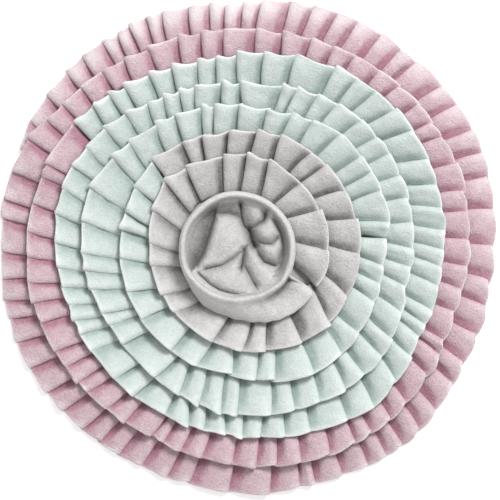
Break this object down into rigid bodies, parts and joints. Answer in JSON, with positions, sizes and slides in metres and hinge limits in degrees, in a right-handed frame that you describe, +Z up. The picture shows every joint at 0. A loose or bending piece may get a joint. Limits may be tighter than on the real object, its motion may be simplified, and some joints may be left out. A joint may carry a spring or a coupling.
{
  "type": "round snuffle mat",
  "caption": "Round pet snuffle mat: knife-pleated fleece strips sewn in a lapped spiral on a flat round backing, with a coiled rosette of gathered cloth at the centre.",
  "frame": {"origin": "centre of the round backing's flat underside, on the surface the mat lies on", "axes": "+Z up, out of the pleated side; +X and +Y lie in the mat, and the spiral runs clockwise inwards seen from +Z"},
  "size_m": [0.4981, 0.4952, 0.036],
  "materials": {
    "backing": "plain woven cloth, grey",
    "pink_fleece": "short fuzzy pile, dusty pink",
    "mint_fleece": "short fuzzy pile, pale mint",
    "grey_fleece": "short fuzzy pile, warm light grey"
  },
  "bodies": {
    "root": {"base": "backing", "pink_ruffle": "pink_fleece", "mint_ruffle_outer": "mint_fleece", "mint_ruffle_inner": "mint_fleece", "grey_ruffle": "grey_fleece", "rosette": "grey_fleece"}
  },
  "joints": []
}
